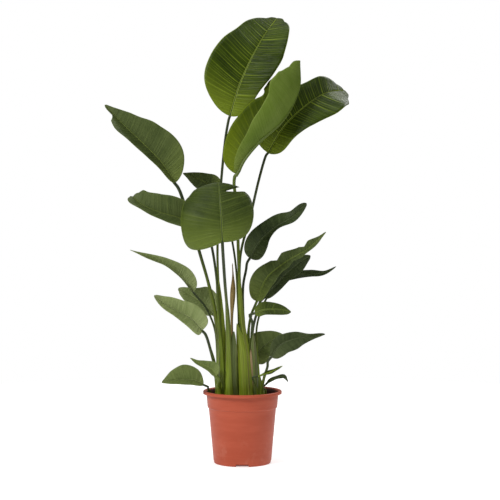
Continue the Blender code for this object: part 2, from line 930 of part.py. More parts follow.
# A husk left by an older leaf, and a new shoot
make_stalk(
    "withered_husk",
    husk,
    [
        Vector((-0.030, -0.008, SOIL_TOP + CLEARANCE)),
        Vector((-0.029, -0.008, 0.314)),
        Vector((-0.032, -0.012, 0.437)),
        Vector((-0.028, -0.022, 0.544)),
        Vector((-0.030, -0.030, 0.612)),
    ],
    (0.0075, 0.002),
)
make_stalk(
    "new_shoot",
    stalk_green,
    [
        Vector((-0.006, -0.024, SOIL_TOP + CLEARANCE)),
        Vector((-0.010, -0.024, 0.225)),
        Vector((-0.011, -0.024, 0.251)),
    ],
    (0.006, 0.0015),
)
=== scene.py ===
"""Looks for a potted bird of paradise: fine blades, channelled stalks, the pot and its soil.

Metres, +Z up, +X to the right, -Y to the front. The calls that grow the leaves, spikes and
sheaths say millimetres and degrees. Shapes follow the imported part's own leaves.
"""
import math
import random

import bmesh
import bpy
from mathutils import Matrix, Vector


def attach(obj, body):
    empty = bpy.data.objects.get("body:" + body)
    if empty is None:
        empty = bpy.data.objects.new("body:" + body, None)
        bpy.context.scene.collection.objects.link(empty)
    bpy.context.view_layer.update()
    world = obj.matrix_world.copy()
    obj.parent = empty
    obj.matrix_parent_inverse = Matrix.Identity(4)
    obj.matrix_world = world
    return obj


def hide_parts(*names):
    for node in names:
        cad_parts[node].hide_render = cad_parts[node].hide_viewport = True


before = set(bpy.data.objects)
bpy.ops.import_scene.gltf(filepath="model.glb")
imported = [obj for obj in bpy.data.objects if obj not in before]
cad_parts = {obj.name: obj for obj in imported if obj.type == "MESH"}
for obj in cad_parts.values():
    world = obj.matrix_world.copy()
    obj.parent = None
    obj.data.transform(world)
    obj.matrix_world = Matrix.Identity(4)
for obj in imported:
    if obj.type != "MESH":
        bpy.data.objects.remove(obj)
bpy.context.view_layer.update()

POT_HEIGHT = 0.2205
POT_SLOPE = 0.088
POT_SIDES = 144
SOIL_TOP = 0.191
SOIL_RADIUS = 0.1047

# Blades
ROW_SPACING = 0.0013
LEAST_ROWS = 24
HALF_COLUMNS = 15
RIB_COLUMNS = 4
SPINE_STEPS = 72
END_CROWDING = 0.55
BLADE_THICKNESS = 0.0007
RIB_WIDTH = 0.0038
RIB_TAPER = 0.0026
RIB_GROOVE = 0.0010
NECK_WIDTH = 0.0030
POINT_WIDTH = 0.0002
RAKE = 0.35
RAKE_START = 0.3
SWEEP_LIMIT = 0.7
SWELL_HEIGHT = 0.0045
VEIN_SPACING = 0.0074
VEIN_HEIGHT = 0.00034
MARGIN_DROOP = 0.0012

# Stalks
STALK_SPACING = 0.006
STALK_SIDES = 20
STALK_BURIED = 0.004
SPIKE_STEPS = 60

# Noise is moved this far on a blade's other half, so that the halves differ
HALF_SHIFT = 7.0


# Materials


class Field:
    """A number that changes over a surface. Arithmetic on it adds Math nodes."""

    def __init__(self, finish, socket):
        self.finish = finish
        self.socket = socket

    def math(self, operation, *terms):
        return self.finish.node("Math", {"operation": operation}, dict(enumerate(terms)))

    def __add__(self, other):
        return self.math("ADD", self, other)

    def __sub__(self, other):
        return self.math("SUBTRACT", self, other)

    def __rsub__(self, other):
        return self.math("SUBTRACT", other, self)

    def __mul__(self, other):
        return self.math("MULTIPLY", self, other)

    def __truediv__(self, other):
        return self.math("DIVIDE", self, other)

    def __pow__(self, other):
        return self.math("POWER", self, other)

    def __abs__(self):
        return self.math("ABSOLUTE", self)

    __radd__ = __add__
    __rmul__ = __mul__


class Finish:
    """One procedural material, built on its Principled shader."""

    def __init__(self, name, **constants):
        self.material = bpy.data.materials.new(name)
        self.material.use_nodes = True
        self.tree = self.material.node_tree
        self.shader = self.tree.nodes["Principled BSDF"]
        for socket, value in constants.items():
            self.shader.inputs[socket.replace("_", " ")].default_value = value

    def node(self, kind, settings=None, sockets=None, output=0):
        """Add a node: its settings, then the values or links of its sockets."""
        made = self.tree.nodes.new("ShaderNode" + kind)
        for key, value in (settings or {}).items():
            setattr(made, key, value)
        for key, value in (sockets or {}).items():
            if isinstance(value, Field):
                self.tree.links.new(value.socket, made.inputs[key])
            else:
                made.inputs[key].default_value = value
        return Field(self, made.outputs[output])

    def drive(self, **sockets):
        """Link fields to the shader's own sockets."""
        for socket, field in sockets.items():
            self.tree.links.new(field.socket, self.shader.inputs[socket.replace("_", " ")])

    def place(self):
        """The three coordinates of a place on the piece, in metres."""
        spot = self.node("TexCoord", output=3)
        return [self.node("SeparateXYZ", None, {0: spot}, output=i) for i in range(3)]

    def growth(self, name):
        """The three numbers that a piece stores at each place under this name."""
        spot = self.node("Attribute", {"attribute_name": name}, output=1)
        return [self.node("SeparateXYZ", None, {0: spot}, output=i) for i in range(3)]

    def vector(self, x, y, z):
        return self.node("CombineXYZ", None, {0: x, 1: y, 2: z})

    def noise(self, spot, scale=1.0, detail=2.0, roughness=0.5):
        return self.node(
            "TexNoise",
            None,
            {"Vector": spot, "Scale": scale, "Detail": detail, "Roughness": roughness},
        )

    def step(self, field, low, high, least=0.0, most=1.0):
        """A smooth change from least to most as a field goes from low to high."""
        return self.node(
            "MapRange",
            {"interpolation_type": "SMOOTHSTEP"},
            {0: field, 1: low, 2: high, 3: least, 4: most},
        )

    def blend(self, share, first, second):
        """A colour between two, by share."""
        sockets = {0: share, 6: first, 7: second}
        for key in (6, 7):
            if isinstance(sockets[key], tuple):
                sockets[key] = (*sockets[key], 1.0)
        return self.node("Mix", {"data_type": "RGBA"}, sockets, output=2)

    def layers(self, colour, *layers):
        """A colour with others laid over it in turn. Each layer is a share and its colour."""
        for share, over in layers:
            colour = self.blend(share, colour, over)
        return colour

    def bump(self, height, distance, strength=1.0):
        self.drive(
            Normal=self.node(
                "Bump", None, {"Height": height, "Distance": distance, "Strength": strength}
            )
        )


def blade_finish(name, deep, light, rib, tip, roughness, lines, specular):
    """A blade's upper side: slanting veins drawn as pale lines that are partly painted highlight, a
    pale midrib with painted shade beside it, and a thin pale margin.
    """
    finish = Finish(name, Specular_IOR_Level=specular)
    step, noise, vector = finish.step, finish.noise, finish.vector
    along, across, reach = finish.growth("vein")
    share, seed, vein = finish.growth("leaf")
    out = abs(across)
    side = step(across, -0.001, 0.001, 0.0, HALF_SHIFT)
    threads = noise(vector(along * 900 + side, out * 9, seed), 1.0, 1.0)
    bands = noise(vector(along * 95 + side, out * 6, seed), 1.0, 2.0)
    clouds = noise(vector(along * 14, out * 20 + side, seed), 1.0, 3.0)
    wax = noise(vector(along * 30, out * 40, seed + 3.0), 1.0, 3.0)
    fibre = step(threads, 0.3, 0.7)
    band = step(bands, 0.3, 0.7)
    mottle = step(clouds, 0.3, 0.7) * 0.45 + band * 0.40 + fibre * 0.15
    # The vein lines are partly the veins' own pale colour and partly painted highlight: they are
    # drawn stronger near the midrib and stand in for glints off the ridges.
    line = step(vein, 0.45, 0.98) * step(reach, 1.0, 0.1, 0.25, 1.0) * (band * 0.7 + 0.3)
    from_rib = out / (RIB_WIDTH - share * RIB_TAPER)
    colour = finish.layers(
        finish.blend(mottle, deep, light),
        # Pale vein lines, partly painted highlight
        (line * lines, rib),
        (step(share, 0.78, 1.0) * 0.35, tip),
        (step(share, 0.32, 0.0) * 0.55, rib),
        # Painted shade: a darker band just beside the midrib stands in for the shade in its groove.
        (step(from_rib, 1.0, 2.0, 0.30, 0.0), deep),
        (step(from_rib, 0.70, 1.05, 1.0, 0.0), rib),
        (step(reach, 0.972, 0.993) * 0.5, rib),
    )
    finish.drive(Base_Color=colour, Roughness=roughness + band * 0.08 + wax * 0.16 - 0.08)
    finish.bump(band * 0.5 + fibre * 0.3 + line * 0.4, 0.0012)
    return finish.material


def under_finish(name, deep, light, rib):
    """A blade's underside: paler and matt, with fine raised veins."""
    finish = Finish(name, Specular_IOR_Level=0.12)
    step, noise, vector = finish.step, finish.noise, finish.vector
    along, across, reach = finish.growth("vein")
    share, seed, vein = finish.growth("leaf")
    out = abs(across)
    side = step(across, -0.001, 0.001, 0.0, HALF_SHIFT)
    bands = noise(vector(along * 260 + side, out * 4, seed), 1.0, 2.0)
    clouds = noise(vector(along * 16, out * 22 + side, seed), 1.0, 3.0)
    band = step(bands, 0.35, 0.65)
    mottle = step(clouds, 0.3, 0.7) * 0.55 + band * 0.30
    colour = finish.layers(
        finish.blend(mottle, deep, light),
        (step(vein, 0.2, 0.9) * 0.20, deep),
        (step(share, 0.25, 0.0) * 0.4, rib),
        (step(reach, 0.97, 0.99) * 0.6, rib),
    )
    finish.drive(Base_Color=colour, Roughness=0.48 + band * 0.14)
    finish.bump(band, 0.0005, 0.8)
    return finish.material


def stalk_finish(name, low, high, streak, rim):
    """A stalk: fine lengthwise fibres, darker above, with pale papery rims at its foot."""
    finish = Finish(name, Specular_IOR_Level=0.36)
    step, noise, vector = finish.step, finish.noise, finish.vector
    along, around, channel = finish.growth("vein")
    share, seed, _ = finish.growth("leaf")
    fibres = noise(vector(around * 34, along * 5, seed), 1.0, 3.0)
    streaks = noise(vector(around * 12, along * 2.5, seed + 5.0), 1.0, 4.0, 0.6)
    spots = noise(vector(around * 5, along * 60, seed + 9.0), 1.0, 3.0, 0.7)
    mark = step(streaks, 0.50, 0.66) * step(share, 0.75, 0.25)
    scar = step(spots, 0.66, 0.78) * step(share, 0.6, 0.2)
    edge = step(channel, 0.80, 0.97) * step(share, 0.55, 0.2)
    colour = finish.layers(
        finish.blend(step(share, 0.15, 0.85), low, high),
        (step(fibres, 0.55, 0.35) * 0.55, high),
        (step(fibres, 0.50, 0.72) * 0.35, rim),
        (mark * 0.75, streak),
        (scar * 0.6, streak),
        (edge * 0.8, rim),
    )
    finish.drive(Base_Color=colour, Roughness=0.36 + streaks * 0.25)
    finish.bump(fibres, 0.0006, 0.6)
    return finish.material


def pot_finish():
    """Moulded terracotta-coloured plastic: an even matt face with faint flow marks and dust, and
    painted shade on the inner wall above the soil.
    """
    finish = Finish("terracotta_plastic", Specular_IOR_Level=0.28)
    step, noise, vector = finish.step, finish.noise, finish.vector
    x, y, z = finish.place()
    spot = vector(x, y, z)
    flow = noise(vector(x * 6, y * 6, z * 30), 1.0, 4.0, 0.6)
    grain = noise(spot, 900.0, 2.0, 0.6)
    dust = noise(spot, 22.0, 5.0, 0.65)
    dusty = step(dust, 0.52, 0.78) * step(z, 0.14, 0.0)
    radius = (x * x + y * y) ** 0.5
    # Painted shade: the inner wall above the soil, a recess the light hardly reaches, is darkened
    # almost to black.
    painted_inside_shade = step(radius - z * POT_SLOPE, 0.0908, 0.0900) * step(z, 0.176, 0.180)
    colour = finish.layers(
        finish.blend(step(flow, 0.35, 0.7), (0.345, 0.056, 0.022), (0.395, 0.072, 0.032)),
        (dusty * 0.25, (0.55, 0.26, 0.18)),
        # Painted shade on the inner wall
        (painted_inside_shade * 0.9, (0.022, 0.005, 0.003)),
    )
    finish.drive(Base_Color=colour, Roughness=0.36 + grain * 0.10 + dust * 0.14)
    finish.bump(grain * 0.6 + flow * 0.4, 0.0002, 0.5)
    return finish.material


def soil_finish():
    """Moist peat: dark crumbs with lighter fibres and dry tops."""
    finish = Finish("potting_soil", Specular_IOR_Level=0.3)
    step, noise, vector = finish.step, finish.noise, finish.vector
    x, y, z = finish.place()
    spot = vector(x, y, z)
    crumbs = noise(spot, 260.0, 6.0, 0.7)
    patches = noise(spot, 30.0, 4.0, 0.6)
    fibres = noise(vector(x * 90, y * 900, z * 300), 1.0, 3.0, 0.6)
    colour = finish.layers(
        finish.blend(step(crumbs, 0.35, 0.7), (0.016, 0.009, 0.006), (0.075, 0.043, 0.026)),
        (step(patches, 0.45, 0.7) * 0.5, (0.11, 0.068, 0.042)),
        (step(fibres, 0.66, 0.74) * 0.5, (0.20, 0.13, 0.075)),
    )
    finish.drive(Base_Color=colour, Roughness=0.80 + crumbs * 0.2)
    finish.bump(crumbs, 0.002)
    return finish.material


def crumb_finish(name, dark, pale):
    """Bark chips and perlite on the soil."""
    finish = Finish(name, Specular_IOR_Level=0.3)
    grain = finish.noise(finish.vector(*finish.place()), 500.0, 5.0, 0.7)
    colour = finish.blend(finish.step(grain, 0.3, 0.7), dark, pale)
    finish.drive(Base_Color=colour, Roughness=0.75 + grain * 0.2)
    finish.bump(grain, 0.0006, 0.8)
    return finish.material


def husk_finish():
    """A dry brown sheath: papery fibres, green at its foot, blackened in streaks."""
    finish = Finish("dry_husk", Specular_IOR_Level=0.25)
    step, noise, vector = finish.step, finish.noise, finish.vector
    along, around, _ = finish.growth("vein")
    share, seed, _ = finish.growth("leaf")
    fibres = noise(vector(around * 30, along * 12, seed), 1.0, 4.0, 0.65)
    blots = noise(vector(around * 4, along * 22, seed), 1.0, 4.0, 0.6)
    colour = finish.layers(
        finish.blend(step(fibres, 0.3, 0.7), (0.10, 0.065, 0.018), (0.34, 0.24, 0.09)),
        (step(share, 0.45, 0.0) * 0.75, (0.17, 0.20, 0.045)),
        (step(blots, 0.55, 0.72) * 0.6, (0.035, 0.020, 0.010)),
    )
    finish.drive(Base_Color=colour, Roughness=0.68 + fibres * 0.25)
    finish.bump(fibres, 0.0009)
    return finish.material


# Shapes


def catmull_rom(points, count):
    """Points spread evenly over a smooth curve that runs through the given ones."""
    knots = [2 * points[0] - points[1], *points, 2 * points[-1] - points[-2]]
    dense = []
    fine = 24
    for i in range(1, len(knots) - 2):
        before, start, end, after = knots[i - 1 : i + 3]
        for step in range(fine):
            t = step / fine
            a = 2 * start
            b = (end - before) * t
            c = (2 * before - 5 * start + 4 * end - after) * t * t
            d = (3 * start - before - 3 * end + after) * t * t * t
            dense.append((a + b + c + d) / 2)
    dense.append(points[-1] * 1.0)
    reach = [0.0]
    for a, b in zip(dense, dense[1:]):
        reach.append(reach[-1] + (b - a).length)
    spread = []
    i = 0
    for n in range(count):
        goal = reach[-1] * n / (count - 1)
        while i < len(dense) - 2 and reach[i + 1] < goal:
            i += 1
        share = (goal - reach[i]) / (reach[i + 1] - reach[i])
        spread.append(dense[i].lerp(dense[i + 1], share))
    return spread


def smooth(share):
    """A change from 0 to 1 that starts and ends gently."""
    share = min(1.0, max(0.0, share))
    return share * share * (3 - 2 * share)


def half_width(widths, share):
    """A half's width from five sizes along it. It closes in a round end at both ends."""
    knots = [0.0, *widths, 0.0]
    turn = math.acos(1 - 2 * min(1.0, max(0.0, share))) / math.pi * 6
    i = min(int(turn), 5)
    t = turn - i
    start, end = knots[i], knots[i + 1]
    before = knots[i - 1] if i else -knots[1]
    after = knots[i + 2] if i < 5 else -knots[5]
    a = 2 * start + (end - before) * t
    b = (2 * before - 5 * start + 4 * end - after) * t * t
    c = (3 * start - before - 3 * end + after) * t * t * t
    return max(0.0, (a + b + c) / 2)


def across_half(width, fold, curl, reach):
    """How far out and up a place on one half lies. The half rises by fold and rolls by curl."""
    fold = math.radians(fold)
    curl = math.radians(curl)
    if abs(curl) < 0.001:
        return width * reach * math.cos(fold), width * reach * math.sin(fold)
    end = fold + curl * reach
    radius = width / curl
    return radius * (math.sin(end) - math.sin(fold)), radius * (math.cos(fold) - math.cos(end))


class Ripple:
    """A smooth wavering line that repeats for the same seed."""

    def __init__(self, seed, spans):
        chance = random.Random(seed)
        self.parts = [(math.tau / span, chance.uniform(0, math.tau)) for span in spans]

    def at(self, place):
        return sum(math.sin(rate * place + phase) for rate, phase in self.parts) / len(self.parts)


def show(name, mesh, materials, node, slot):
    """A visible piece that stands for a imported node."""
    piece = bpy.data.objects.new(name, mesh)
    bpy.context.scene.collection.objects.link(piece)
    for material in materials:
        mesh.materials.append(material)
    for polygon in mesh.polygons:
        polygon.use_smooth = True
    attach(piece, "root")
    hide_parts(node)
    return piece


def spine_of(midrib, faces, count):
    """Even places along a midrib, each with its direction, upper side and right side.

    faces are the directions that the upper side looks to, at the base and at the tip.
    """
    places = catmull_rom([Vector(point) for point in midrib], count + 1)
    first, last = (Vector(face).normalized() for face in faces)
    spine = []
    for n, place in enumerate(places):
        along = (places[min(n + 1, count)] - places[max(n - 1, 0)]).normalized()
        face = first.lerp(last, n / count)
        face = (face - face.dot(along) * along).normalized()
        spine.append((place, along, face, along.cross(face)))
    return spine


def spine_at(spine, share):
    """The midrib's place and directions at a share of its length."""
    reach = min(1.0, share) * (len(spine) - 1)
    i = min(int(reach), len(spine) - 2)
    return [a.lerp(b, reach - i) for a, b in zip(spine[i], spine[i + 1])]


def growth_mesh(rows, columns):
    """A grid that stores two sets of three numbers at each place, for the materials."""
    bm = bmesh.new()
    vein = bm.verts.layers.float_vector.new("vein")
    leaf = bm.verts.layers.float_vector.new("leaf")
    bmesh.ops.create_grid(bm, x_segments=rows, y_segments=columns, size=0.5)
    return bm, vein, leaf


def finished_mesh(name, bm):
    """The mesh that a bmesh holds."""
    mesh = bpy.data.meshes.new(name)
    bm.to_mesh(mesh)
    bm.free()
    return mesh


def thicken(piece, thickness):
    """Give a sheet its thickness, half of it to each side."""
    shell = piece.modifiers.new("thickness", "SOLIDIFY")
    shell.thickness = thickness
    shell.offset = 0.0
    return shell


def length_of(places):
    return sum((b - a).length for a, b in zip(places, places[1:]))


def torn_width(width, half, share, tears):
    """A half's width where tears narrow it. A tear is (half, share, depth, span)."""
    for torn, at, depth, span in tears:
        if torn == half:
            width *= 1.0 - depth * max(0.0, 1.0 - abs(share - at) / span)
    return width


def make_blade(name, finish, midrib, faces, widths, fold, curl, lobe, wave, tears, seed):
    """A blade: a fine grid bent along its midrib, grooved over it, rippled and waved.

    widths are each half's widths at five places, the left half first, and fold, curl and lobe
    have one number for each half. wave is how many waves the margin has and how high they are.
    """
    upper, under, slot = finish
    spine = spine_of(midrib, faces, SPINE_STEPS)
    length = length_of([station[0] for station in spine])
    rows = max(LEAST_ROWS, int(length / ROW_SPACING))
    bm, vein, leaf = growth_mesh(rows, 2 * HALF_COLUMNS)
    widest = max(*widths[0], *widths[1])
    drift = [Ripple(seed + half, (0.061, 0.037, 0.023)) for half in (0, 1)]
    swells = [Ripple(seed + 5 + half, (0.16, 0.10, 0.065)) for half in (0, 1)]
    waves, height = wave
    phase = random.Random(seed).uniform(0, math.tau)
    for vert in bm.verts:
        even = vert.co.x + 0.5
        crowded = (1.0 - math.cos(math.pi * even)) / 2
        share = crowded * END_CROWDING + even * (1.0 - END_CROWDING)
        half = 1 if vert.co.y < 0 else 0
        column = abs(vert.co.y) * 2 * HALF_COLUMNS
        place, along, face, right_side = spine_at(spine, share)

        # The veins slant forward, so a margin's width is read a little ahead
        settle = smooth(share / RAKE_START)
        room = (1.0 - share) * length * SWEEP_LIMIT
        ahead = min(RAKE * settle * half_width(widths[half], share), room)
        width = half_width(widths[half], share + ahead / length)
        width = torn_width(width, half, share, tears)
        width = max(width, NECK_WIDTH * (1.0 - share) + POINT_WIDTH)

        # The columns near the midrib are closer together
        rib_width = RIB_WIDTH - RIB_TAPER * share
        rib = min(rib_width * 1.6, width * 0.4)
        if column <= RIB_COLUMNS:
            distance = rib * column / RIB_COLUMNS
        else:
            spread = (column - RIB_COLUMNS) / (HALF_COLUMNS - RIB_COLUMNS)
            distance = rib + (width - rib) * spread
        reach = distance / width
        run = share * length
        full = width / widest

        # Waves at the margin, swells over the half, veins across it, and the midrib's groove
        out, rise = across_half(width, fold[half], curl[half], reach)
        turn = math.tau * waves * share + half * 2.0 + phase
        rise += height * math.sin(turn) * reach**2 * full
        rise += SWELL_HEIGHT * swells[half].at(run) * reach * full
        turn = math.tau * (run / VEIN_SPACING + 0.55 * drift[half].at(run)) + half * 2.0
        vein_wave = math.sin(turn)
        fade = smooth(distance / 0.010) * smooth((1 - reach) / 0.15) * smooth((1 - share) / 0.5)
        rise += VEIN_HEIGHT * vein_wave * fade
        rise -= RIB_GROOVE * math.exp(-((distance / rib_width) ** 2))
        rise -= MARGIN_DROOP * smooth((reach - 0.9) / 0.1) * full

        slant = RAKE * settle - lobe[half] * (1.0 - settle)
        shift = min(slant * width, room) * reach**1.15
        sign = 1.0 if half else -1.0
        vert.co = place + right_side * (out * sign) + face * rise + along * shift
        vert[vein] = (run, distance * sign, reach)
        vert[leaf] = (share, float(seed % 17), vein_wave)
    bm.normal_update()
    mesh = finished_mesh(name, bm)
    piece = show(name + "_blade", mesh, (upper, under), name, slot)
    thicken(piece, BLADE_THICKNESS).material_offset = 1
    return spine


def loft(name, stations, node, finish, seed):
    """A closed tube lofted through stations.

    Each station is its place, direction and channel side, its width, depth and the depth of
    its channel, and its share of the stalk.
    """
    material, slot = finish
    last = len(stations) - 1
    bm, vein, leaf = growth_mesh(last, STALK_SIDES)
    run = [0.0]
    for a, b in zip(stations, stations[1:]):
        run.append(run[-1] + (b[0] - a[0]).length)
    for vert in bm.verts:
        i = round((vert.co.x + 0.5) * last)
        place, along, inward, width, depth, dent, share = stations[i]
        angle = vert.co.y * math.tau
        if i in (0, last):
            width = depth = 0.0
        lateral = along.cross(inward)
        c, s = math.cos(angle), math.sin(angle)
        deep = depth * c
        if c > 0:
            deep -= depth * dent * math.exp(-((s / 0.5) ** 2)) * c
        vert.co = place + lateral * (width * s) + inward * deep
        rim = max(0.0, 1.0 - abs(abs(angle) - 0.85) / 0.5)
        vert[vein] = (run[i], angle / math.tau, rim)
        vert[leaf] = (share, float(seed % 17), 0.0)
    bmesh.ops.remove_doubles(bm, verts=bm.verts, dist=1e-6)
    bmesh.ops.recalc_face_normals(bm, faces=bm.faces)
    return show(name, finished_mesh(name, bm), (material,), node, slot)


def make_stalk(name, finish, foot, via, base, spine, neck, sheath, seed):
    """A stalk from the soil to its blade, and on under the blade as its midrib.

    neck is its radius below the blade. sheath is its radius at the soil, and the height over
    which it narrows to the neck.
    """
    along, face = spine[0][1], spine[0][2]
    foot_radius, sheath_height = sheath
    low = Vector((foot[0], foot[1], SOIL_TOP - STALK_BURIED))
    knots = [low, Vector((foot[0], foot[1], SOIL_TOP + 0.010))]
    knots += [Vector(point) for point in via]
    knots += [base - along * 0.018, base]
    places = catmull_rom(knots, int(length_of(knots) / STALK_SPACING) + 2)
    towards = Vector((1.0 if foot[0] < 0.0 else -1.0, 0.0, 0.0))
    stations = []
    last = len(places) - 1
    for n, place in enumerate(places):
        share = n / last
        direction = (places[min(n + 1, last)] - places[max(n - 1, 0)]).normalized()
        inward = towards.lerp(face, smooth((share - 0.25) / 0.7))
        inward = (inward - inward.dot(direction) * direction).normalized()
        clasp = max(0.0, 1.0 - (place.z - SOIL_TOP) / sheath_height)
        radius = neck * 1.05 + (foot_radius - neck) * clasp**0.85
        close = smooth(1.0 - (base - place).length / 0.035)
        sunk = place - inward * (radius * 0.85 * close)
        dent = (0.35 + 0.65 * smooth(clasp * 2)) * (1 - close)
        stations.append((sunk, direction, inward, radius * 1.05, radius, dent, share))
    steps = max(6, int(len(spine) * 0.9))
    for n in range(2, steps):
        place, direction, up_side, _ = spine[n]
        radius = neck * 0.88 * (1.0 - n / steps) ** 0.8 + 0.0004
        under = place - up_side * (radius * 0.92 + 0.0002)
        stations.append((under, direction, up_side, radius, radius, 0.0, 1.0))
    loft(name + "_stalk_fine", stations, name + "_stalk", finish, seed)


def metres(sizes):
    """Sizes in millimetres, alone or in groups, as metres."""
    if isinstance(sizes, (list, tuple)):
        return [metres(size) for size in sizes]
    return sizes * 0.001


def grow_leaf(name, blade, stalk, seed, midrib, faces, left, right, foot, sheath, via, neck=3.6,
              fold=(12, 12), curl=(0, 0), lobe=(0.0, 0.0), wave=(2, 3), tears=()):
    """A leaf: a blade on its midrib, and the stalk that carries it. Sizes are in millimetres."""
    midrib = metres(midrib)
    widths = (metres(left), metres(right))
    wave = (wave[0], metres(wave[1]))
    spine = make_blade(name, blade, midrib, faces, widths, fold, curl, lobe, wave, tears, seed)
    base = Vector(midrib[0])
    sizes = (metres(neck), metres(sheath))
    make_stalk(name, stalk, metres(foot), metres(via), base, spine, *sizes, seed)


def make_spike(name, finish, foot, via, girth, bulge, seed):
    """A leafless stalk that narrows to a point: the dry husk and the new shoot.

    girth is its radii at the soil and the tip, and bulge is how far it swells near its top.
    """
    low = Vector((*metres(foot), SOIL_TOP - STALK_BURIED))
    places = catmull_rom([low, *map(Vector, metres(via))], SPIKE_STEPS)
    flare, neck, bulge = metres((*girth, bulge))
    stations = []
    last = SPIKE_STEPS - 1
    for n, place in enumerate(places):
        share = n / last
        direction = (places[min(n + 1, last)] - places[max(n - 1, 0)]).normalized()
        inward = Vector((1.0, -0.4, 0.0))
        inward = (inward - inward.dot(direction) * direction).normalized()
        radius = neck + (flare - neck) * (1.0 - share) ** 1.3
        radius += bulge * math.exp(-(((share - 0.78) / 0.13) ** 2)) * smooth((1.0 - share) / 0.2)
        dent = 0.7 * (1 - share)
        stations.append((place, direction, inward, radius * 1.1, radius * 0.9, dent, share))
    loft(name + "_fine", stations, name, finish, seed)


def make_sheath(name, node, finish, points, sizes, span, facing, seed):
    """A thin sheath that clasps a fan: a strip rolled round it, with a drawn-out tip.

    sizes are its radii at the foot and the tip, and span is how far round it reaches each way.
    """
    material, slot = finish
    spine = spine_of(metres(points), (facing, facing), 48)
    wide, narrow = metres(sizes)
    bm, vein, leaf = growth_mesh(90, 20)
    length = length_of([station[0] for station in spine])
    wander = Ripple(seed, (0.11, 0.07, 0.045))
    for vert in bm.verts:
        share = vert.co.x + 0.5
        across = vert.co.y * 2
        place, along, face, right = spine_at(spine, share)
        radius = wide + (narrow - wide) * share
        radius += 0.0005 * wander.at(share * length + across * 0.03)
        tip = min(1.0, (1.0 - share) / 0.55) ** 0.75
        angle = math.radians(span) * across * tip
        vert.co = place + face * (radius * math.cos(angle)) + right * (radius * math.sin(angle))
        vert[vein] = (share * length, angle / math.tau, abs(across))
        vert[leaf] = (share * 0.45, float(seed % 17), 0.0)
    bm.normal_update()
    thicken(show(name, finished_mesh(name, bm), (material,), node, slot), 0.0010)


def turn_mesh(profile, sides):
    """A solid turned about Z from (radius, height) points."""
    bm = bmesh.new()
    line = [bm.verts.new((radius, 0.0, height)) for radius, height in profile]
    edges = [bm.edges.new(pair) for pair in zip(line, line[1:])]
    bmesh.ops.spin(
        bm,
        geom=[*line, *edges],
        cent=(0, 0, 0),
        axis=(0, 0, 1),
        angle=math.tau,
        steps=sides,
        use_merge=True,
    )
    bmesh.ops.remove_doubles(bm, verts=bm.verts, dist=1e-5)
    bmesh.ops.recalc_face_normals(bm, faces=bm.faces)
    return finished_mesh("turned", bm)


def rounded(profile, radius=0.0008, steps=4):
    """The same profile with each corner rounded."""
    points = [Vector(point) for point in profile]
    made = [points[0]]
    for before, corner, after in zip(points, points[1:], points[2:]):
        cut = min(radius, (before - corner).length * 0.45, (after - corner).length * 0.45)
        start = corner + (before - corner).normalized() * cut
        end = corner + (after - corner).normalized() * cut
        for n in range(steps + 1):
            t = n / steps
            made.append(start.lerp(corner, t).lerp(corner.lerp(end, t), t))
    made.append(points[-1])
    return [tuple(point) for point in made]


def cut_blocks(piece, name, operation, inner, outer, width, low, high, trim=None):
    """Four blocks at the pot's foot, joined to it or cut from it. trim rounds their outer ends."""
    bm = bmesh.new()
    for quarter in range(4):
        spin = Matrix.Rotation(quarter * math.tau / 4, 4, "Z")
        place = Matrix.Translation((0.0, -(inner + outer) / 2, (low + high) / 2))
        size = Matrix.Diagonal((width, outer - inner, high - low, 1.0))
        bmesh.ops.create_cube(bm, size=1.0, matrix=spin @ place @ size)
    if trim:
        for vert in bm.verts:
            reach = math.hypot(vert.co.x, vert.co.y)
            if reach > trim:
                vert.co.xy *= trim / reach
    block = bpy.data.objects.new(name, finished_mesh(name, bm))
    bpy.context.scene.collection.objects.link(block)
    cut = piece.modifiers.new(name, "BOOLEAN")
    cut.operation = operation
    cut.solver = "EXACT"
    cut.object = block
    return block


def make_pot(material):
    """The nursery pot: a rolled lip, a stepped collar with moulded lines, and drain arches."""
    profile = [
        (0.0, 0.003), (0.082, 0.003), (0.0863, 0.0065), (0.1010, 0.1715), (0.1046, 0.1738),
        (0.1079, 0.2105), (0.1100, 0.2185), (0.1122, POT_HEIGHT), (0.1183, POT_HEIGHT),
        (0.1200, 0.2188), (0.1200, 0.2116), (0.1183, 0.2116), (0.1181, 0.2166),
        (0.1120, 0.2166), (0.1100, 0.2105), (0.1091, 0.2010), (0.1094, 0.2004),
        (0.1088, 0.1996), (0.1066, 0.1718), (0.1050, 0.1690), (0.1030, 0.1682),
        (0.1011, 0.1490), (0.1013, 0.1482), (0.1009, 0.1476), (0.0884, 0.0075),
        (0.0880, 0.0030), (0.0850, 0.0), (0.0, 0.0),
    ]
    mesh = turn_mesh(rounded(profile), POT_SIDES)
    mesh.name = "nursery_pot_fine"
    pot = show("nursery_pot_fine", mesh, (material,), "nursery_pot", "terracotta_plastic")
    blocks = [
        cut_blocks(pot, "arch_roofs", "UNION", 0.062, 0.0871, 0.042, 0.0015, 0.010, trim=0.0872),
        cut_blocks(pot, "arch_hollows", "DIFFERENCE", 0.064, 0.098, 0.038, -0.01, 0.008),
    ]
    flatten(pot, blocks)


def flatten(piece, helpers):
    """Fix a piece's modifiers into its mesh, and remove the shapes that they used."""
    evaluated = piece.evaluated_get(bpy.context.evaluated_depsgraph_get())
    made = bpy.data.meshes.new_from_object(evaluated)
    piece.modifiers.clear()
    piece.data = made
    for helper in helpers:
        bpy.data.objects.remove(helper, do_unlink=True)


class Lumps:
    """The uneven top of the soil, the same for the same chances."""

    def __init__(self, chance):
        self.waves = [
            (chance.uniform(-1, 1), chance.uniform(-1, 1), chance.uniform(0, math.tau))
            for _ in range(26)
        ]

    def height(self, x, y):
        total = 0.0
        for n, (a, b, phase) in enumerate(self.waves):
            total += math.sin((a * x + b * y) * (160 + n * 34) + phase) / (n * 0.35 + 3)
        return total * 0.0011


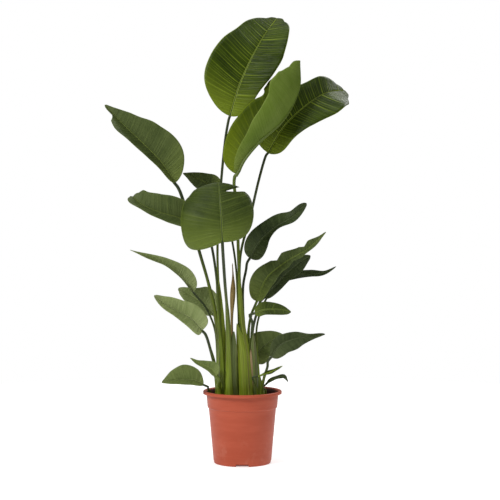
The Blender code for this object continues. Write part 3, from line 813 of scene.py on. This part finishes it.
def make_crumbs(name, finish, count, sizes, lumps, chance):
    """Bits of one kind that lie on the soil, each of its own size, turn and shape."""
    bm = bmesh.new()
    for _ in range(count):
        reach = 0.100 * math.sqrt(chance.random())
        angle = chance.uniform(0, math.tau)
        size = chance.uniform(*sizes)
        x, y = reach * math.cos(angle), reach * math.sin(angle)
        spin = Matrix.Rotation(chance.uniform(0, math.tau), 4, "Z")
        spin = spin @ Matrix.Rotation(chance.uniform(-0.4, 0.4), 4, "X")
        wide = size * chance.uniform(0.45, 0.9)
        thick = size * chance.uniform(0.3, 0.6)
        squash = Matrix.Diagonal((size, wide, thick, 1.0))
        top = SOIL_TOP - 0.0005 + lumps.height(x, y)
        place = Matrix.Translation((x, y, top + size * 0.15))
        shape = place @ spin @ squash
        made = bmesh.ops.create_icosphere(bm, subdivisions=2, radius=1.0, matrix=shape)
        for vert in made["verts"]:
            vert.co += Vector([chance.uniform(-0.14, 0.14) * size for _ in range(3)])
    show(name, finished_mesh(name, bm), (finish,), "potting_soil", "potting_soil")


def make_soil(material, bark, perlite):
    """Soil with an uneven crumbly top, and bark chips and perlite lying on it."""
    chance = random.Random(4)
    lumps = Lumps(chance)
    flat = 0.93
    bm = bmesh.new()
    bmesh.ops.create_grid(bm, x_segments=60, y_segments=200, size=0.5)
    for vert in bm.verts:
        part = vert.co.x + 0.5
        angle = vert.co.y * math.tau
        radius = SOIL_RADIUS * min(1.0, part / flat)
        x, y = radius * math.cos(angle), radius * math.sin(angle)
        drop = smooth((part - flat) / 0.07)
        near_wall = smooth((SOIL_RADIUS - radius) / 0.006 + 0.15)
        height = SOIL_TOP - 0.001 + lumps.height(x, y) * near_wall
        vert.co = (x, y, height - 0.012 * drop)
    bmesh.ops.remove_doubles(bm, verts=bm.verts, dist=1e-6)
    bottom = [edge for edge in bm.edges if edge.is_boundary]
    bmesh.ops.edgeloop_fill(bm, edges=bottom)
    bmesh.ops.recalc_face_normals(bm, faces=bm.faces)
    name = "potting_soil_fine"
    show(name, finished_mesh(name, bm), (material,), "potting_soil", "potting_soil")
    make_crumbs("bark_chips", bark, 90, (0.002, 0.0065), lumps, chance)
    make_crumbs("perlite_grains", perlite, 60, (0.0008, 0.0018), lumps, chance)


# Finishes

terracotta = pot_finish()
peat = soil_finish()
bark = crumb_finish("bark", (0.035, 0.018, 0.010), (0.16, 0.085, 0.045))
perlite = crumb_finish("perlite", (0.45, 0.42, 0.36), (0.70, 0.68, 0.62))

# A leaf's finish is its upper side, its underside and its slot
PALE_UNDER = under_finish(
    "pale_underside",
    deep=(0.07, 0.108, 0.018), light=(0.115, 0.155, 0.038), rib=(0.2, 0.25, 0.06),
)
YOUNG_UNDER = under_finish(
    "young_underside",
    deep=(0.095, 0.15, 0.014), light=(0.148, 0.205, 0.036), rib=(0.24, 0.29, 0.06),
)
GREEN_UNDER = under_finish(
    "green_underside",
    deep=(0.04, 0.064, 0.012), light=(0.072, 0.102, 0.026), rib=(0.15, 0.2, 0.04),
)
OLD = (
    blade_finish(
        "old_leaf", roughness=0.3, lines=0.75, specular=0.12,
        deep=(0.013, 0.026, 0.0006), light=(0.042, 0.07, 0.0014),
        rib=(0.25, 0.33, 0.022), tip=(0.04, 0.048, 0.014),
    ),
    GREEN_UNDER,
    "old_leaf_green",
)
FULL = (
    blade_finish(
        "full_leaf", roughness=0.4, lines=0.36, specular=0.12,
        deep=(0.023, 0.038, 0.004), light=(0.055, 0.079, 0.012),
        rib=(0.16, 0.215, 0.03), tip=(0.12, 0.145, 0.06),
    ),
    PALE_UNDER,
    "full_leaf_green",
)
YOUNG = (
    blade_finish(
        "young_leaf", roughness=0.4, lines=0.7, specular=0.08,
        deep=(0.032, 0.056, 0.0006), light=(0.07, 0.1, 0.0014),
        rib=(0.2, 0.26, 0.01), tip=(0.12, 0.155, 0.036),
    ),
    YOUNG_UNDER,
    "young_leaf_green",
)
# Painted shade: a darker copy of the leaf finish for the leaves that sit in the shade of others or
# face down.
PAINTED_SHADE_LEAF = (
    blade_finish(
        "shaded_leaf", roughness=0.34, lines=0.34, specular=0.12,
        deep=(0.018, 0.03, 0.008), light=(0.05, 0.071, 0.021),
        rib=(0.095, 0.125, 0.045), tip=(0.045, 0.055, 0.027),
    ),
    GREEN_UNDER,
    "old_leaf_green",
)
PALE = (
    blade_finish(
        "pale_leaf", roughness=0.42, lines=0.4, specular=0.16,
        deep=(0.078, 0.112, 0.022), light=(0.14, 0.18, 0.05),
        rib=(0.24, 0.29, 0.09), tip=(0.15, 0.17, 0.08),
    ),
    PALE_UNDER,
    "young_leaf_green",
)
LIGHT = (*PALE[:2], "full_leaf_green")
# Partly painted sheen: a lighter, greyer copy of the full leaf whose grey stands in for sheen, with
# less specular.
SOFT_PAINTED_SHEEN = (
    blade_finish(
        "soft_painted_sheen_leaf", roughness=0.46, lines=0.3, specular=0.08,
        deep=(0.048, 0.07, 0.018), light=(0.098, 0.128, 0.038),
        rib=(0.19, 0.24, 0.05), tip=(0.14, 0.165, 0.08),
    ),
    PALE_UNDER,
    "full_leaf_green",
)
# The same painted sheen, for the small back leaf.
BACK_PAINTED_SHEEN = (*SOFT_PAINTED_SHEEN[:2], "old_leaf_green")
DULL = (
    blade_finish(
        "dull_leaf", roughness=0.62, lines=0.3, specular=0.04,
        deep=(0.03, 0.042, 0.015), light=(0.066, 0.086, 0.033),
        rib=(0.09, 0.112, 0.045), tip=(0.055, 0.065, 0.032),
    ),
    GREEN_UNDER,
    "old_leaf_green",
)
# Partly painted sheen: the sage finishes are pale grey copies whose grey stands in for the sheen
# and highlights on the low left leaves.
SAGE_PAINTED_SHEEN_UNDER = under_finish(
    "sage_painted_sheen_underside",
    deep=(0.16, 0.205, 0.068), light=(0.25, 0.298, 0.12), rib=(0.34, 0.39, 0.17),
)
SAGE_PAINTED_SHEEN = (
    blade_finish(
        "sage_leaf", roughness=0.42, lines=0.4, specular=0.16,
        deep=(0.148, 0.192, 0.056), light=(0.24, 0.29, 0.11),
        rib=(0.34, 0.39, 0.17), tip=(0.26, 0.28, 0.16),
    ),
    SAGE_PAINTED_SHEEN_UNDER,
    "young_leaf_green",
)
# The same painted sheen in the full leaf slot. On the inner leaf it also stands in for light on a
# leaf that sits in the shade of others.
SAGE_PAINTED_SHEEN_FULL = (*SAGE_PAINTED_SHEEN[:2], "full_leaf_green")

# A stalk's finish is its material and its slot
OUTER = (
    stalk_finish(
        "outer_sheath",
        low=(0.105, 0.14, 0.022), high=(0.045, 0.07, 0.012),
        streak=(0.085, 0.05, 0.04), rim=(0.44, 0.46, 0.22),
    ),
    "dark_stalk_green",
)
PAPERY = (
    stalk_finish(
        "papery_sheath",
        low=(0.26, 0.19, 0.08), high=(0.3, 0.19, 0.1),
        streak=(0.12, 0.05, 0.025), rim=(0.52, 0.44, 0.28),
    ),
    "dark_stalk_green",
)
BRIGHT = (
    stalk_finish(
        "bright_stalk",
        low=(0.185, 0.24, 0.006), high=(0.066, 0.104, 0.003),
        streak=(0.07, 0.055, 0.012), rim=(0.42, 0.45, 0.14),
    ),
    "stalk_green",
)
DARK = (
    stalk_finish(
        "dark_stalk",
        low=(0.16, 0.225, 0.004), high=(0.017, 0.029, 0.005),
        streak=(0.045, 0.03, 0.012), rim=(0.27, 0.32, 0.08),
    ),
    "dark_stalk_green",
)
DRY = (husk_finish(), "dry_husk")


# Pieces

make_pot(terracotta)
make_soil(peat, bark, perlite)

# Upper leaves
grow_leaf(
    "top_leaf", OLD, DARK, seed=11,
    midrib=[(-38, 20, 1057), (-11, 18, 1146), (26, 22, 1230), (68, 36, 1306), (106, 85, 1362)],
    faces=((0.05, -1, 0.1), (-0.3, -0.8, 0.6)),
    left=(58, 110, 112, 84, 50), right=(44, 66, 92, 90, 56),
    fold=(10, 10), wave=(2, 4),
    foot=(-44, 6), sheath=(13, 340),
    via=[(-50, 8, 343), (-66, 14, 462), (-75, 20, 587), (-75, 22, 694), (-65, 22, 856),
         (-53, 20, 978)],
)
grow_leaf(
    "furled_leaf", YOUNG, BRIGHT, seed=12,
    midrib=[(-19, -30, 880), (4, -30, 925), (52, -30, 980), (124, -28, 1045), (171, -22, 1135),
            (174, -12, 1222)],
    faces=((-0.8, 0, 0.2), (-0.8, 0, 0.3)),
    left=(55, 100, 112, 98, 52), right=(22, 48, 88, 104, 64),
    fold=(65, 40), curl=(20, 45), lobe=(0.1, 0.1), wave=(1, 3),
    foot=(20, -14), neck=5.2, sheath=(16, 360),
    via=[(11, -18, 331), (-3, -24, 438), (-9, -30, 544), (-13, -34, 650), (-16, -32, 756)],
)
grow_leaf(
    "upper_right_leaf", OLD, DARK, seed=13,
    midrib=[(78, 30, 945), (124, 30, 1021), (186, 34, 1083), (252, 56, 1128), (314, 105, 1143)],
    faces=((-0.1, -1, 0.1), (0.1, -0.7, 0.7)),
    left=(55, 62, 66, 60, 46), right=(36, 50, 68, 90, 62),
    fold=(12, 8), wave=(2.5, 6),
    foot=(12, 14), sheath=(12, 300),
    via=[(5, 18, 327), (-4, 22, 449), (-9, 30, 571), (-3, 36, 651), (23, 40, 746), (47, 36, 850)],
)
grow_leaf(
    "upper_left_leaf", SOFT_PAINTED_SHEEN, DARK, seed=14,
    midrib=[(-204, -10, 853), (-249, -19, 918), (-304, -30, 975), (-361, -30, 1030),
            (-415, -20, 1088)],
    faces=((0.3, -0.9, 0.32), (0.25, -0.9, 0.4)),
    left=(30, 50, 66, 74, 24), right=(45, 81, 75, 45, 14),
    fold=(46, 34), tears=((0, 0.86, 0.6, 0.1),),
    foot=(-60, -2), neck=4.6, sheath=(12, 360),
    via=[(-68, 0, 344), (-83, -2, 460), (-105, -4, 555), (-126, -6, 628), (-150, -8, 710),
         (-180, -10, 801)],
)

# Middle leaves
grow_leaf(
    "front_leaf", FULL, DARK, seed=15,
    midrib=[(-58, -160, 677), (-61, -166, 743), (-66, -146, 806), (-71, -95, 850), (-73, -36, 847)],
    faces=((0, -1, 0.05), (0, -0.2, 1)),
    left=(100, 130, 118, 84, 40), right=(70, 100, 98, 70, 34),
    fold=(4, 4), curl=(-46, -40), lobe=(0.45, 0.1), wave=(2, 2), tears=((1, 0.6, 0.75, 0.06),),
    foot=(-38, -30), neck=4.2, sheath=(18, 300),
    via=[(-39, -45, 349), (-44, -70, 456), (-51, -105, 548), (-55, -140, 618)],
)
grow_leaf(
    "middle_left_leaf", SOFT_PAINTED_SHEEN, DARK, seed=16,
    midrib=[(-127, -60, 723), (-186, -67, 746), (-248, -71, 764), (-302, -64, 788),
            (-330, -34, 812)],
    faces=((0.1, -0.92, 0.36), (-0.1, -0.7, 0.7)),
    left=(35, 55, 54, 52, 34), right=(41, 55, 57, 48, 34),
    fold=(42, 30), wave=(1.5, 3),
    foot=(-56, -20), sheath=(12, 360),
    via=[(-63, -22, 346), (-71, -27, 462), (-78, -35, 566), (-92, -47, 660)],
)
grow_leaf(
    "small_back_leaf", BACK_PAINTED_SHEEN, DARK, seed=17,
    midrib=[(-68, 90, 832), (-98, 86, 846), (-128, 83, 862), (-156, 79, 874), (-184, 75, 884)],
    faces=((0.1, -0.95, 0.25), (0.1, -0.95, 0.3)),
    left=(24, 34, 36, 24, 8), right=(24, 34, 28, 15, 5),
    fold=(18, 22),
    foot=(0, 30), neck=3, sheath=(10, 260),
    via=[(-8, 35, 341), (-15, 45, 494), (-20, 60, 592), (-33, 75, 680), (-55, 87, 780)],
)
grow_leaf(
    "twisted_leaf", PAINTED_SHADE_LEAF, DARK, seed=18,
    midrib=[(23, 10, 624), (55, -1, 677), (101, -9, 719), (154, -9, 752), (194, 15, 792)],
    faces=((0, -1, 0.1), (0, -0.5, 0.9)),
    left=(29, 42, 34, 22, 12), right=(34, 36, 16, 30, 20),
    fold=(24, 16), curl=(0, 25), wave=(2, 6),
    foot=(22, 32), sheath=(11, 260),
    via=[(8, 36, 356), (2, 40, 463), (2, 34, 537), (11, 22, 587)],
)
grow_leaf(
    "wavy_leaf", SOFT_PAINTED_SHEEN, BRIGHT, seed=19,
    midrib=[(44, 10, 493), (74, 0, 563), (132, -10, 613), (198, -11, 653), (254, 0, 704)],
    faces=((-0.15, -1, 0.15), (0, -0.8, 0.5)),
    left=(30, 40, 28, 20, 6), right=(22, 30, 24, 14, 6),
    fold=(20, 25), lobe=(0.3, 0.1), wave=(3.2, 16),
    tears=((0, 0.42, 0.35, 0.07), (1, 0.56, 0.5, 0.09), (0, 0.72, 0.4, 0.06)),
    foot=(28, 8), sheath=(11, 220),
    via=[(19, 9, 343), (19, 10, 404), (26, 10, 447)],
)
grow_leaf(
    "dark_right_leaf", PAINTED_SHADE_LEAF, DARK, seed=20,
    midrib=[(66, 60, 499), (100, 55, 536), (132, 50, 572), (169, 50, 604), (209, 55, 630)],
    faces=((-0.1, -1, -0.1), (-0.1, -1, -0.1)),
    left=(30, 36, 34, 28, 12), right=(14, 20, 22, 26, 12),
    fold=(15, 5),
    foot=(40, 22), sheath=(11, 200),
    via=[(31, 28, 326), (32, 40, 402), (45, 53, 456)],
)
grow_leaf(
    "slender_leaf", PAINTED_SHADE_LEAF, DARK, seed=21,
    midrib=[(129, 120, 548), (169, 120, 567), (211, 120, 570), (254, 120, 574), (292, 120, 594)],
    faces=((0, -0.8, 0.6), (0, -0.9, 0.3)),
    left=(7, 13, 14, 6, 2), right=(6, 14, 15, 8, 4),
    fold=(20, 20), wave=(1.5, 4),
    foot=(50, 38), neck=3, sheath=(9, 200),
    via=[(42, 50, 369), (52, 66, 445), (83, 98, 510)],
)
grow_leaf(
    "short_right_leaf", FULL, DARK, seed=22,
    midrib=[(38, -30, 459), (65, -34, 469), (93, -37, 471), (121, -38, 470), (147, -35, 463)],
    faces=((0, -0.95, 0.3), (0, -0.95, 0.3)),
    left=(15, 24, 22, 13, 5), right=(16, 17, 19, 17, 11),
    fold=(18, 14),
    foot=(36, -8), sheath=(10, 180),
    via=[(29, -12, 330), (28, -18, 388), (30, -24, 430)],
)

# Low leaves
grow_leaf(
    "long_tipped_leaf", SAGE_PAINTED_SHEEN_FULL, DARK, seed=23,
    midrib=[(-151, 20, 520), (-188, 14, 566), (-234, 10, 602), (-290, 10, 624), (-343, 10, 649)],
    faces=((0.2, -0.95, 0.15), (0.1, -0.95, 0.3)),
    left=(22, 32, 28, 14, 4), right=(28, 39, 24, 15, 4),
    fold=(74, 30), wave=(1.5, 3),
    foot=(-76, 4), neck=3, sheath=(8, 200),
    via=[(-75, 10, 312), (-84, 18, 403), (-110, 24, 468)],
)
grow_leaf(
    "inner_left_leaf", SAGE_PAINTED_SHEEN_FULL, BRIGHT, seed=24,
    midrib=[(-91, 60, 449), (-115, 55, 474), (-140, 50, 494), (-168, 50, 513), (-197, 50, 530)],
    faces=((0.2, -0.95, 0.25), (0.2, -0.95, 0.3)),
    left=(20, 34, 36, 34, 20), right=(30, 50, 54, 24, 10),
    fold=(30, 26), wave=(2, 4),
    foot=(-64, 18), neck=4, sheath=(10, 200),
    via=[(-69, 30, 326), (-76, 47, 401)],
)
grow_leaf(
    "sage_leaf", SAGE_PAINTED_SHEEN, DARK, seed=25,
    midrib=[(-121, -70, 410), (-151, -76, 444), (-189, -80, 466), (-229, -80, 488),
            (-264, -75, 515)],
    faces=((0.25, -0.92, 0.32), (0.2, -0.92, 0.4)),
    left=(34, 42, 36, 26, 12), right=(32, 42, 38, 29, 12),
    fold=(38, 30), lobe=(0.3, 0.1), wave=(1.5, 3),
    foot=(-74, -18), neck=4, sheath=(9, 160),
    via=[(-76, -24, 240), (-83, -36, 299), (-96, -52, 350)],
)
grow_leaf(
    "curled_small_leaf", PALE, BRIGHT, seed=26,
    midrib=[(-79, -60, 272), (-93, -62, 292), (-114, -64, 304), (-136, -64, 314), (-157, -60, 326)],
    faces=((0.2, -0.95, 0.2), (0.1, -0.95, 0.3)),
    left=(10, 14, 11, 8, 3), right=(14, 26, 17, 7, 3),
    fold=(25, 25), wave=(1.5, 2),
    foot=(-68, -36), neck=6, sheath=(9, 60),
    via=[(-69, -40, 222), (-71, -46, 240)],
)
grow_leaf(
    "lowest_leaf", PALE, DARK, seed=27,
    midrib=[(-118, -38, 243), (-146, -44, 256), (-180, -49, 259), (-213, -50, 256),
            (-244, -45, 250)],
    faces=((0.05, -0.9, 0.4), (0.05, -0.9, 0.4)),
    left=(18, 34, 38, 26, 10), right=(16, 36, 45, 31, 11),
    fold=(50, 15), wave=(1, 2),
    foot=(-92, -12), neck=3, sheath=(5, 40),
    via=[(-97, -18, 214), (-104, -26, 230)],
)
grow_leaf(
    "low_right_leaf", LIGHT, DARK, seed=28,
    midrib=[(42, 72, 296), (48, 68, 328), (70, 64, 353), (97, 64, 371), (128, 66, 383)],
    faces=((-0.1, -1, 0.1), (0, -0.9, 0.4)),
    left=(24, 36, 50, 32, 14), right=(28, 40, 42, 36, 14),
    fold=(14, 14), lobe=(0.2, 0.2), wave=(2, 4),
    foot=(66, 36), sheath=(7, 70),
    via=[(60, 50, 222), (50, 64, 258)],
)
grow_leaf(
    "long_low_leaf", DULL, DARK, seed=29,
    midrib=[(87, -40, 327), (115, -47, 364), (158, -50, 383), (204, -49, 388), (250, -40, 396)],
    faces=((-0.1, -0.95, 0.3), (0, -0.8, 0.6)),
    left=(14, 30, 22, 11, 6), right=(24, 38, 38, 14, 5),
    fold=(40, 14), wave=(1.5, 4),
    foot=(58, -14), sheath=(7, 90),
    via=[(60, -18, 236), (67, -24, 267), (76, -32, 296)],
)
grow_leaf(
    "upper_seedling_leaf", OLD, DARK, seed=30,
    midrib=[(47, -50, 270), (67, -52, 276), (86, -52, 283), (103, -52, 291), (121, -50, 301)],
    faces=((0, -0.9, 0.4), (0, -0.9, 0.4)),
    left=(3, 6, 7, 5, 2), right=(3, 6, 7, 5, 2),
    fold=(35, 35),
    foot=(46, -28), neck=2.5, sheath=(5, 40),
    via=[(44, -38, 232)],
)
grow_leaf(
    "hooked_seedling_leaf", PAINTED_SHADE_LEAF, DARK, seed=31,
    midrib=[(72, -10, 241), (87, -15, 254), (107, -18, 262), (127, -18, 265), (139, -15, 248)],
    faces=((0, -0.9, 0.5), (0.3, -0.9, 0.2)),
    left=(3, 6, 7, 7, 3), right=(3, 6, 7, 7, 3),
    fold=(35, 35),
    foot=(70, 4), neck=2.5, sheath=(5, 40),
    via=[(69, -3, 222)],
)

# Leafless stalks
make_spike(
    "withered_husk", DRY, seed=41, girth=(8, 1.6), bulge=6.5, foot=(-30, -8),
    via=[(-29, -8, 314), (-32, -12, 437), (-28, -22, 544), (-30, -30, 612)],
)
make_spike(
    "new_shoot", BRIGHT, seed=42, girth=(6, 0.8), bulge=0, foot=(-6, -24),
    via=[(-10, -24, 225), (-11, -24, 251)],
)

# Sheaths that clasp the fans
make_sheath(
    "left_fan_sheath", "front_leaf_stalk", OUTER, seed=51,
    points=[(-30, -20, 188), (-31, -24, 270), (-30, -30, 350), (-25, -36, 408)],
    sizes=(18.5, 15), span=105, facing=(0, -1, 0),
)
make_sheath(
    "left_outer_sheath", "upper_left_leaf_stalk", BRIGHT, seed=52,
    points=[(-58, -10, 188), (-60, -12, 300), (-64, -12, 420), (-68, -12, 560)],
    sizes=(15, 10), span=110, facing=(-0.3, -1, 0),
)
make_sheath(
    "right_fan_sheath", "furled_leaf_stalk", BRIGHT, seed=53,
    points=[(6, -16, 188), (3, -20, 270), (-3, -24, 350), (-18, -30, 430)],
    sizes=(18, 13), span=105, facing=(0.1, -1, 0),
)
make_sheath(
    "papery_sheath", "upper_right_leaf_stalk", PAPERY, seed=54,
    points=[(24, -10, 188), (24, -14, 260), (24, -16, 350)],
    sizes=(11, 8), span=60, facing=(0.2, -1, 0),
)
make_sheath(
    "right_outer_sheath", "short_right_leaf_stalk", OUTER, seed=55,
    points=[(36, -4, 188), (35, -8, 270), (32, -12, 350), (30, -18, 400)],
    sizes=(13, 9), span=105, facing=(0.3, -1, 0),
)


# Studio

FLOOR_RADIUS = 2.2
PANEL_TARGET = Vector((0.0, 0.0, 0.7))
SURROUND_LOW = 0.12
SURROUND_HIGH = 0.90
CAMERA_PLACE = (0.0231, -4.5, 0.795)
CAMERA_PITCH = 1.858
CAMERA_LENS = 106.56


def make_surround():
    """Light from all round that grows with height. The camera sees it as plain white."""
    world = bpy.data.worlds.new("studio")
    world.use_nodes = True
    tree = world.node_tree
    ground = tree.nodes["Background"]
    ground.inputs[0].default_value = (1.0, 1.0, 1.0, 1.0)
    spot = tree.nodes.new("ShaderNodeTexCoord")
    parts = tree.nodes.new("ShaderNodeSeparateXYZ")
    depth = tree.nodes.new("ShaderNodeMapRange")
    seen = tree.nodes.new("ShaderNodeLightPath")
    most = tree.nodes.new("ShaderNodeMath")
    most.operation = "MAXIMUM"
    for key, value in ((1, 0.0), (2, 0.9), (3, SURROUND_LOW), (4, SURROUND_HIGH)):
        depth.inputs[key].default_value = value
    tree.links.new(spot.outputs["Generated"], parts.inputs[0])
    tree.links.new(parts.outputs[2], depth.inputs[0])
    tree.links.new(depth.outputs[0], most.inputs[0])
    tree.links.new(seen.outputs["Is Camera Ray"], most.inputs[1])
    tree.links.new(most.outputs[0], ground.inputs[1])
    bpy.context.scene.world = world


def make_studio():
    """A pale floor, soft panels and the surround."""
    scene = bpy.context.scene
    scene.view_settings.view_transform = "Standard"
    bm = bmesh.new()
    bmesh.ops.create_circle(bm, cap_ends=True, segments=128, radius=FLOOR_RADIUS)
    mesh = finished_mesh("studio_floor", bm)
    for polygon in mesh.polygons:
        polygon.use_smooth = True
    floor = bpy.data.objects.new("studio_floor", mesh)
    scene.collection.objects.link(floor)
    pale = Finish(
        "pale_floor",
        Base_Color=(0.8, 0.8, 0.8, 1.0),
        Roughness=0.9,
        Specular_IOR_Level=0.0,
        Emission_Color=(1.0, 1.0, 1.0, 1.0),
        Emission_Strength=0.42,
    )
    mesh.materials.append(pale.material)
    make_surround()
    for name, place, size, power in (
        ("key_panel", (-2.6, -2.6, 3.0), 1.0, 115.0),
        ("fill_panel", (2.8, -2.4, 1.6), 1.2, 6.0),
        ("rim_panel", (1.8, 2.2, 3.2), 1.2, 50.0),
    ):
        light = bpy.data.lights.new(name, "AREA")
        light.shape = "SQUARE"
        light.size = size
        light.energy = power
        panel = bpy.data.objects.new(name, light)
        panel.location = place
        aim = PANEL_TARGET - Vector(place)
        panel.rotation_euler = aim.to_track_quat("-Z", "Y").to_euler()
        scene.collection.objects.link(panel)


def make_camera():
    """The viewing angle: a long lens level with the middle of the leaves, 4.5 m in front."""
    lens = bpy.data.cameras.new("view")
    lens.sensor_width = 36.0
    lens.lens = CAMERA_LENS
    camera = bpy.data.objects.new("view", lens)
    camera.location = CAMERA_PLACE
    camera.rotation_euler = (math.radians(90.0 - CAMERA_PITCH), 0.0, 0.0)
    bpy.context.scene.collection.objects.link(camera)
    bpy.context.scene.camera = camera


make_studio()
make_camera()

bpy.context.view_layer.update()
